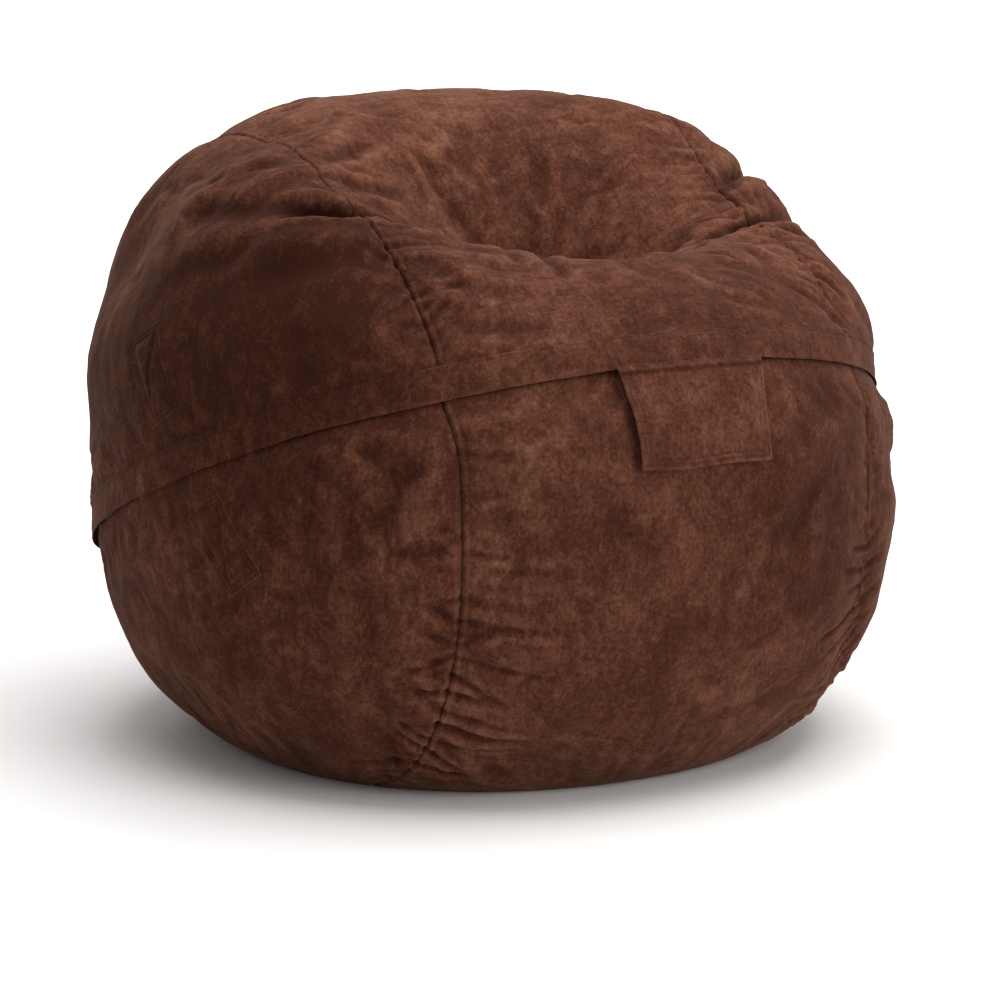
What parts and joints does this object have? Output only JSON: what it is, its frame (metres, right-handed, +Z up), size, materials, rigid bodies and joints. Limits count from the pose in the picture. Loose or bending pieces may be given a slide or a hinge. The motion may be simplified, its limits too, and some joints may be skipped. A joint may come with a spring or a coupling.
{
  "type": "bean bag chair",
  "caption": "Round bean bag chair with a dented seat, a zip-off two-part suede cover, a front tab and a foam-filled liner.",
  "frame": {"origin": "on the floor under the middle of the chair's box", "axes": "+Z up, the front faces -Y, +X is the seated person's left"},
  "size_m": [0.9866, 0.976, 0.7799],
  "materials": {
    "suede": "matte",
    "zip_tape": "matte",
    "zip_coil": "satin",
    "zip_metal": "satin",
    "liner": "matte",
    "foam": "matte"
  },
  "bodies": {
    "chair": {"seat_band_upper": "suede", "base_band_lower": "suede", "right_side_upper": "suede", "right_side_lower": "suede", "left_side_upper": "suede", "left_side_lower": "suede", "zip_flap": "suede", "zip_hinge_strip": "suede", "right_patch_upper": "suede", "right_patch_lower": "suede", "left_patch_upper": "suede", "left_patch_lower": "suede", "zip_tape_upper": "zip_tape", "zip_tape_lower": "zip_tape", "zip_coil_upper": "zip_coil", "zip_coil_lower": "zip_coil", "zip_stop_closed": "zip_metal", "zip_stop_open": "zip_metal", "liner_upper": "liner", "liner_lower": "liner", "foam_filling": "foam"},
    "zip_slider": {"zip_slider": "zip_metal"},
    "zip_puller": {"zip_puller": "zip_metal"},
    "front_tab": {"front_tab": "suede"}
  },
  "joints": [
    {"name": "zip_travel", "type": "hinge", "parent": "chair", "child": "zip_slider", "pos_m": [0, 0.0075, 0.323], "axis": [0, 0.3778, 0.9259], "range_deg": [-267.2, 0]},
    {"name": "puller_swing", "type": "hinge", "parent": "zip_slider", "child": "zip_puller", "pos_m": [0.48805, -0.0077, 0.31732], "axis": [-0.0244, -0.9256, 0.3777], "range_deg": [0, 88]},
    {"name": "tab_lift", "type": "hinge", "parent": "chair", "child": "front_tab", "pos_m": [0, -0.45167, 0.4967], "axis": [-1, 0, 0], "range_deg": [0, 110]}
  ]
}
